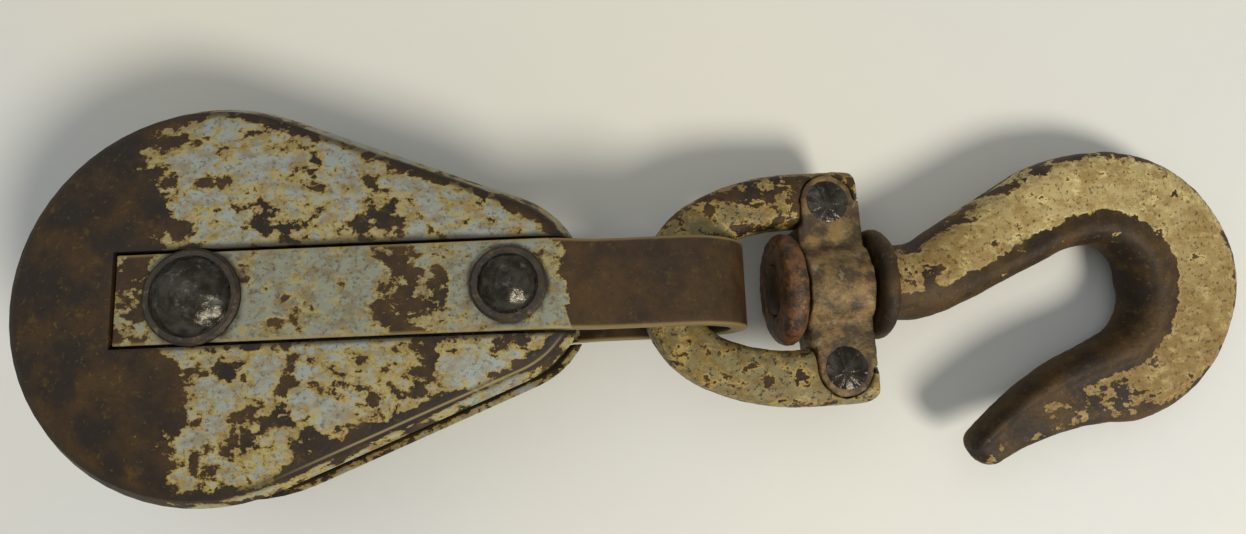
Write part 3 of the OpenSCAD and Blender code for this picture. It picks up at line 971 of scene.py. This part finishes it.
def soften(piece: bpy.types.Object, angle: float = 32.0) -> None:
    """Shades a piece smooth.

    Args:
        piece: the piece.
        angle: edges that turn by more degrees than this stay sharp.
    """
    mesh = piece.data
    mesh.polygons.foreach_set("use_smooth", np.ones(len(mesh.polygons), dtype=bool))
    mesh.set_sharp_from_angle(angle=radians(angle))


def dress(
    piece: bpy.types.Object, material: bpy.types.Material, body: str, node: str
) -> None:
    """Gives a piece its material, slot and body, and lets it stand for its CAD node.

    Args:
        piece: the piece.
        material: its finish.
        body: the CAD body that it rides on.
        node: the CAD node that it replaces.
    """
    piece.data.materials.clear()
    piece.data.materials.append(material)
    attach(piece, body)
    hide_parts(node)
    LOG.info("%s: %d points", piece.name, len(piece.data.vertices))


def repaint(node: str, material: bpy.types.Material) -> None:
    """Gives a CAD node that stays as it is its finish.

    Args:
        node: the CAD node.
        material: its finish.
    """
    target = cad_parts[node]
    target.data.materials.clear()
    target.data.materials.append(material)
    LOG.info("%s: kept from the CAD", node)


@dataclass
class Shell:
    """The cheeks, the plate between the sheaves, the strap and what holds them together.

    Attributes:
        shell_r: radius of the cheek's round end.
        tip_r: radius of its narrow end.
        tip_x: place of the narrow end's middle along the block.
        shell_lead: place of the round end's middle.
        strap_half: half the strap's width.
        strap_back: how far the strap reaches behind the sheave pin.
        rivet_x: place of the tip rivet along the block.
        pin_washer_r: radius of the washers of the sheave pin.
        rivet_washer_r: radius of the washers of the tip rivet.
        head_z: height from which a pin is its hammered head.
        channel_gap: how far the wall of the strap's channel lies from the strap.
        dirt_and_shade_reach: how far dirt has spread, and painted shade reaches, from that wall.
        grease_reach: how far grease has spread from a washer.
    """

    shell_r: float = 68.5
    tip_r: float = 32.0
    tip_x: float = 101.0
    shell_lead: float = 2.4
    strap_half: float = 15.9
    strap_back: float = 27.0
    rivet_x: float = 109.5
    pin_washer_r: float = 17.0
    rivet_washer_r: float = 13.5
    head_z: float = 32.5
    channel_gap: float = 1.0
    dirt_and_shade_reach: float = 3.0
    grease_reach: float = 3.5

    def outline_gap(self, x: np.ndarray, y: np.ndarray) -> np.ndarray:
        """Measures how far points lie inside the crease of a cheek.

        Args:
            x: places along the block.
            y: places across the block.

        Returns:
            Distances in millimetres, below zero outside the crease.
        """
        px, py = x - self.shell_lead, np.abs(y)
        span = self.tip_x - self.shell_lead
        slant = (self.shell_r - self.tip_r) / span
        run = (1 - slant * slant) ** 0.5
        along = px * run - py * slant
        flank = self.shell_r - (px * slant + py * run)
        back = self.shell_r - np.hypot(px, py)
        tip = self.tip_r - np.hypot(px - span, py)
        return np.where(along < 0, back, np.where(along > run * span, tip, flank))

    def block_points(self, piece: bpy.types.Object) -> np.ndarray:
        """Gives a piece's points in the block's own unrolled frame, in millimetres."""
        turn = np.array(Matrix.Rotation(radians(LIE_ROLL), 3, "X"))
        return points_mm(piece) @ turn.T

    def cheek(self, side: str, material: bpy.types.Material) -> None:
        """Makes a painted cheek, with dirt and painted shade where the strap lies in its
        channel.

        Args:
            side: front or rear.
            material: old paint.
        """
        piece = merged_copy(f"{side}_cheek", f"{side}_cheek_painted")
        rolled_skin(piece, edge_mm=0.5, longest_mm=5.0)
        x, y = self.block_points(piece)[:, :2].T
        store(piece, "edge_mm", self.outline_gap(x, y))
        # Painted shade with some dirt: the cheek darkens in the gap along the channel's wall and
        # behind the strap's end.
        beside = np.abs(np.abs(y) - self.strap_half - self.channel_gap)
        past_end = np.minimum(x + self.strap_back + self.channel_gap, 0)
        behind = np.hypot(past_end, np.maximum(np.abs(y) - 15, 0))
        near = np.where(x > -self.strap_back - 2 * self.channel_gap, beside, behind)
        store(piece, "grime", np.clip(1 - near / self.dirt_and_shade_reach, 0, 1))
        soften(piece)
        dress(piece, material, "block", f"{side}_cheek")

    def strap(self, material: bpy.types.Material) -> None:
        """Makes the strap with rounded corners, and grease round its washers.

        Args:
            material: old paint.
        """
        piece = merged_copy("strap", "strap_painted")
        rolled_skin(piece, edge_mm=0.9, longest_mm=5.0)
        x, y = self.block_points(piece)[:, :2].T
        pin = np.hypot(x, y) - self.pin_washer_r
        rivet = np.hypot(x - self.rivet_x, y) - self.rivet_washer_r
        near = np.minimum(np.abs(pin), np.abs(rivet) * 1.4)
        store(piece, "grime", np.clip(1 - near / self.grease_reach, 0, 1) * 0.9)
        store(piece, "edge_mm", self.strap_half - np.abs(y))
        soften(piece)
        dress(piece, material, "block", "strap")

    def dent(self, point: Vector, normal: Vector) -> float:
        """Gives the depth of the hammer marks, which only the heads have.

        Args:
            point: a point in millimetres.
            normal: the skin's direction there, which doesn't matter here.

        Returns:
            The move along the normal in millimetres.
        """
        if abs(block_place(point * MM).z) < self.head_z:
            return 0.0
        return noise.noise(point * 0.16) * 0.5 + noise.noise(point * 0.45) * 0.22 - 0.25

    def hammered(self, node: str, centre_x: float, material: bpy.types.Material) -> None:
        """Makes a pin or rivet with hammered heads.

        Args:
            node: the CAD node.
            centre_x: place of its axis along the block.
            material: worn steel.
        """
        piece = merged_copy(node, f"{node}_hammered")
        rolled_skin(piece, edge_mm=0.4, longest_mm=1.6)
        roughen(piece, self.dent)
        x, y = self.block_points(piece)[:, :2].T
        radius = np.hypot(x - centre_x, y)
        ring = 2.2
        store(piece, "grime", np.clip((radius - radius.max() + ring) / ring, 0, 1))
        soften(piece, 40.0)
        dress(piece, material, "block", node)

    def build(self, head_steel: bpy.types.Material) -> None:
        """Makes the shell's pieces and repaints the CAD nodes that stay.

        Args:
            head_steel: worn steel of the pin and the rivet.
        """
        cheek_paint = CHEEK_PAINT.build()
        self.cheek("front", cheek_paint)
        self.cheek("rear", cheek_paint)
        self.strap(STRAP_PAINT.build())
        self.hammered("sheave_pin", 0.0, head_steel)
        self.hammered("tip_rivet", self.rivet_x, head_steel)
        repaint("centre_plate", PLATE_PAINT.build())
        kept = (
            (WASHER_STEEL, ("pin_washer", "rivet_washer")),
            (SPACER_STEEL, ("spacer",)),
            (SHEAVE_IRON, ("sheave",)),
            (BUSH_BRASS, ("bush",)),
        )
        for finish, kinds in kept:
            material = finish.build()
            for kind in kinds:
                repaint(f"front_{kind}", material)
                repaint(f"rear_{kind}", material)


@dataclass
class Shackle:
    """The bow, its crossbar and the hammered pins.

    Attributes:
        voxel_mm: width of a cell of the cast skin.
        pin_spokes: spokes that a pin's head was split in.
        spoke_r: radius that the spokes reach.
        middle_x: places along the bow between which its middle sinks.
        middle_z: heights of its middle there.
    """

    voxel_mm: float = 0.9
    pin_spokes: int = 7
    spoke_r: float = 7.5
    middle_x: tuple[float, float] = (155.0, 245.0)
    middle_z: tuple[float, float] = (0.5, -8.0)

    def casting(self, point: Vector, normal: Vector) -> float:
        """Gives the height of the sand-cast skin at a point in millimetres."""
        return noise.noise(point * 0.3) * 0.22 + noise.noise(point * 0.9) * 0.09

    def cast(self, node: str, material: bpy.types.Material) -> bpy.types.Object:
        """Makes a cast piece.

        Args:
            node: the CAD node.
            material: its finish.

        Returns:
            The piece.
        """
        piece = merged_copy(node, f"{node}_cast")
        cast_skin(piece, self.voxel_mm, smooth=2)
        roughen(piece, self.casting)
        store(piece, "grime", np.zeros(len(piece.data.vertices)))
        soften(piece, 60.0)
        dress(piece, material, "shackle", node)
        return piece

    def bow(self, material: bpy.types.Material) -> None:
        """Makes the bow, and stores how far each point lies off its middle height.

        Args:
            material: old paint on a casting.
        """
        piece = self.cast("shackle_bow", material)
        x, _, z = points_mm(piece).T
        lift = np.abs(z - np.interp(x, self.middle_x, self.middle_z))
        store(piece, "bend_mm", np.clip(lift * 1.2, 0, 9))

    def peened(self, node: str, material: bpy.types.Material) -> None:
        """Makes a crossbar pin whose heads are split outwards in spokes.

        Args:
            node: the CAD node.
            material: worn steel.
        """
        piece = merged_copy(node, f"{node}_peened")
        rolled_skin(piece, edge_mm=0.3, longest_mm=1.0)
        low, high = (Vector(corner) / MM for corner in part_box(node))
        centre = (low + high) / 2

        def mark(point: Vector, normal: Vector) -> float:
            """Gives the depth of the spokes and of the punch mark between them.

            Args:
                point: a point in millimetres.
                normal: the skin's direction there.

            Returns:
                The move along the normal in millimetres, zero off the heads.
            """
            if abs(normal.z) < 0.6:
                return 0.0
            offset = point - centre
            turn = atan2(offset.y, offset.x)
            reach = min(hypot(offset.x, offset.y) / self.spoke_r, 1.0)
            spoke = max(0.0, cos(turn * self.pin_spokes)) ** 4 * reach
            punch = max(0.0, 1 - reach * 4)
            return -0.5 * spoke - 0.25 * punch

        roughen(piece, mark)
        store(piece, "grime", np.zeros(len(piece.data.vertices)))
        soften(piece, 50.0)
        dress(piece, material, "shackle", node)

    def build(self, head_steel: bpy.types.Material) -> None:
        """Makes the shackle's pieces.

        Args:
            head_steel: worn steel of the pins.
        """
        self.bow(SHACKLE_PAINT.build())
        self.cast("shackle_crossbar", CROSSBAR_IRON.build())
        self.peened("left_crossbar_pin", head_steel)
        self.peened("right_crossbar_pin", head_steel)


@dataclass
class SwivelHook:
    """The forged hook with its collar and shank, and the nut that holds it.

    The sizes from neck_x to lip_turn are the hook's own, as the CAD has them.

    Attributes:
        bow_x: place of the shackle's bow along the block.
        shift: how far the hook's axis lies to the block's right.
        yaw: the axis's turn on the table in degrees.
        slope: its slope in degrees.
        neck_x: where the neck leaves the collar.
        neck_length: straight length of the neck.
        neck_r: radius of its bend.
        neck_turn: turn of its bend in degrees, and of the back's.
        rise_length: straight length from the neck to the back.
        back_r: radius of the back.
        crown_r: radius of the bowl's middle line.
        crown_turn: turn of the bowl in degrees.
        lip_length: straight length before the lip.
        lip_r: radius of the lip.
        lip_turn: turn of the lip in degrees.
        half_at: lengths along the bar at which its half depth is given.
        half_mm: half depths there.
        voxel_mm: width of a cell of the forged skin.
    """

    bow_x: float = 166.0
    shift: float = 2.4
    yaw: float = 0.8
    slope: float = 6.8
    neck_x: float = 84.4
    neck_length: float = 8.0
    neck_r: float = 30.0
    neck_turn: float = 26.0
    rise_length: float = 46.0
    back_r: float = 58.0
    crown_r: float = 36.5
    crown_turn: float = 170.0
    lip_length: float = 4.0
    lip_r: float = 122.0
    lip_turn: float = 30.0
    half_at: tuple[float, ...] = (0, 8, 67.6, 94, 148, 202, 206, 262)
    half_mm: tuple[float, ...] = (15, 15, 17.8, 18.8, 24, 18.5, 17, 8)
    voxel_mm: float = 1.1

    def middle_line(self) -> np.ndarray:
        """Walks along the middle of the hook's bar.

        Returns:
            Rows of x, y, heading in radians and length so far, in the hook's own plane.
        """
        runs = [
            (self.neck_length, 0.0),
            (self.neck_r * radians(self.neck_turn), 1 / self.neck_r),
            (self.rise_length, 0.0),
            (self.back_r * radians(self.neck_turn), -1 / self.back_r),
            (self.crown_r * radians(self.crown_turn), -1 / self.crown_r),
            (self.lip_length, 0.0),
            (self.lip_r * radians(self.lip_turn), 1 / self.lip_r),
        ]
        rows = []
        x, y, heading, done = self.neck_x, 0.0, 0.0, 0.0
        for length, bend in runs:
            steps = max(2, round(length / 2))
            for _ in range(steps):
                rows.append((x, y, heading, done))
                step = length / steps
                heading += bend * step / 2
                x += step * cos(heading)
                y += step * sin(heading)
                heading += bend * step / 2
                done += step
        rows.append((x, y, heading, done))
        return np.array(rows)

    def own_points(self, piece: bpy.types.Object) -> np.ndarray:
        """Gives a piece's points in the hook's own plane.

        Args:
            piece: the piece.

        Returns:
            Rows of x, y and z in millimetres.
        """
        turn_z = Matrix.Rotation(radians(self.yaw), 3, "Z")
        turn = np.array(turn_z @ Matrix.Rotation(radians(self.slope), 3, "Y"))
        return (points_mm(piece) - np.array([self.bow_x, -self.shift, 0.0])) @ turn

    def forging(self, point: Vector, normal: Vector) -> float:
        """Gives the height of the forged skin, which stays inside the CAD's."""
        return noise.noise(point * 0.12) * 0.3 + noise.noise(point * 0.5) * 0.12 - 0.25

    def rusting(self, point: Vector, normal: Vector) -> float:
        """Gives the height of the nut's rusted skin at a point in millimetres."""
        return noise.noise(point * 0.4) * 0.3

    def hook(self, material: bpy.types.Material) -> None:
        """Makes the hook, and stores where on its bar each point lies.

        Args:
            material: old paint on a forging.
        """
        piece = merged_copy("hook", "hook_forged")
        cast_skin(piece, self.voxel_mm, smooth=2)
        roughen(piece, self.forging)
        x, y = self.own_points(piece)[:, :2].T
        line = self.middle_line()
        gaps = (x[:, None] - line[None, :, 0]) ** 2 + (y[:, None] - line[None, :, 1]) ** 2
        at_x, at_y, heading, length = line[gaps.argmin(axis=1)].T
        sideways = -(x - at_x) * np.sin(heading) + (y - at_y) * np.cos(heading)
        half = np.interp(length, self.half_at, self.half_mm)
        on_shank = x < self.neck_x - 0.5
        store(piece, "across", np.where(on_shank, -1.0, sideways / half))
        store(piece, "along_mm", np.where(on_shank, 0.0, length))
        collar_gap = np.abs(x - self.neck_x) / 3.0
        store(piece, "grime", np.clip(1 - collar_gap, 0, 1) * 0.8)
        soften(piece, 60.0)
        dress(piece, material, "swivel_hook", "hook")

    def nut(self, material: bpy.types.Material) -> None:
        """Makes the nut.

        Args:
            material: rusty iron.
        """
        piece = merged_copy("shank_nut", "shank_nut_rusty")
        cast_skin(piece, voxel_mm=0.8, smooth=1)
        roughen(piece, self.rusting)
        store(piece, "grime", np.zeros(len(piece.data.vertices)))
        soften(piece, 60.0)
        dress(piece, material, "swivel_hook", "shank_nut")

    def build(self) -> None:
        """Makes the hook and its nut."""
        self.hook(HOOK_PAINT.build())
        self.nut(NUT_IRON.build())


@dataclass(frozen=True)
class Lamp:
    """A round soft lamp that faces the block.

    Attributes:
        name: the lamp's name.
        place: where it hangs, in metres.
        size: its width in metres.
        power: its power in watts.
        colour: its colour as a hex code.
    """

    name: str
    place: tuple[float, float, float]
    size: float
    power: float
    colour: str

    def hang(self) -> None:
        """Hangs the lamp in the scene."""
        light = bpy.data.lights.new(self.name, "AREA")
        light.shape = "DISK"
        light.size = self.size
        light.energy = self.power
        light.color = linear(self.colour)[:3]
        lamp = bpy.data.objects.new(self.name, light)
        lamp.location = self.place
        to_block = Vector((0.15, 0, 0)) - Vector(self.place)
        lamp.rotation_euler = to_block.to_track_quat("-Z", "Y").to_euler()
        bpy.context.scene.collection.objects.link(lamp)


@dataclass
class Studio:
    """The table, the lamps, the room and the camera.

    Attributes:
        floor_z_mm: height of the table, just under the block's lowest point.
        floor_half_m: half the table's width.
        camera_mm: place of the camera.
        camera_turn: turn of the picture in degrees.
        focal_px: focal length, in pixels of the photograph.
        frame_px: width of the photograph.
        sensor_mm: width of the camera's sensor.
        window: the main lamp, warm and fairly small, which draws the shadows.
        sky: the fill lamp, cool and broad.
        room_light: strength of the room's light on the block.
        room_white: what the camera and reflections see on top of it.
        room_colour: colour of the room.
    """

    floor_z_mm: float = -38.8
    floor_half_m: float = 15.0
    camera_mm: tuple[float, float, float] = (149.4, 9.6, 341.0)
    camera_turn: float = -2.4
    focal_px: float = 900.0
    frame_px: float = 1246.0
    sensor_mm: float = 36.0
    window: Lamp = Lamp("window", (1.13, -1.05, 1.6), 0.72, 40.0, "fff6e6")
    sky: Lamp = Lamp("sky", (-0.5, 0.9, 2.2), 2.4, 15.0, "eef1f6")
    room_light: float = 0.34
    room_white: float = 0.5
    room_colour: str = "ebe8e0"

    def floor(self, material: bpy.types.Material) -> None:
        """Lays the table.

        Args:
            material: the table's finish.
        """
        mesh = bpy.data.meshes.new("table")
        sheet = bmesh.new()
        place = Matrix.Translation((0.15, 0, self.floor_z_mm * MM))
        bmesh.ops.create_grid(
            sheet, x_segments=1, y_segments=1, size=self.floor_half_m, matrix=place
        )
        sheet.to_mesh(mesh)
        sheet.free()
        table = bpy.data.objects.new("table", mesh)
        table.data.materials.append(material)
        bpy.context.scene.collection.objects.link(table)
        table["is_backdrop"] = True

    def room(self) -> None:
        """Fills the room with even light, and shows it paler to the camera and reflections."""
        world = bpy.data.worlds.new("room")
        bpy.context.scene.world = world
        world.use_nodes = True
        world.node_tree.nodes.clear()
        g = Graph(world.node_tree)
        ray = g.add("LightPath", {})[0]
        direct = {0: (ray, "Is Camera Ray"), 1: (ray, "Is Glossy Ray")}
        seen = g.add("Math", direct, **MAXIMUM)
        seen = g.add("Math", {0: seen, 1: (ray, "Is Transmission Ray")}, **MAXIMUM)
        extra = g.add("Math", {0: seen, 1: self.room_white}, **MULTIPLY)
        strength = g.add("Math", {0: extra, 1: self.room_light}, **ADD)
        air = g.add("Background", {"Color": linear(self.room_colour), "Strength": strength})
        g.add("OutputWorld", {"Surface": air})

    def camera(self) -> None:
        """Sets up the camera, which looks straight down as the photograph's did."""
        lens = bpy.data.cameras.new("camera")
        lens.sensor_width = self.sensor_mm
        lens.lens = self.sensor_mm * self.focal_px / self.frame_px
        lens.clip_start = 0.01
        camera = bpy.data.objects.new("camera", lens)
        camera.location = [value * MM for value in self.camera_mm]
        camera.rotation_euler = (0, 0, radians(self.camera_turn))
        bpy.context.scene.collection.objects.link(camera)
        bpy.context.scene.camera = camera

    def build(self) -> None:
        """Sets up the table, the light and the camera."""
        self.floor(TableTop().build())
        self.window.hang()
        self.sky.hang()
        self.room()
        self.camera()
        bpy.context.scene.view_settings.view_transform = "Standard"
        LOG.info("studio: table, two lamps and camera")


def main() -> None:
    """Builds the block's pieces in order, then the studio."""
    logging.basicConfig(level=logging.INFO, format="%(name)s %(message)s")
    head_steel = HEAD_STEEL.build()
    Shell().build(head_steel)
    Shackle().build(head_steel)
    SwivelHook().build()
    Studio().build()
    sizes = {"cad": plain(CAD_BOX), "visual": plain(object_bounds())}


if __name__ == "__main__":
    main()
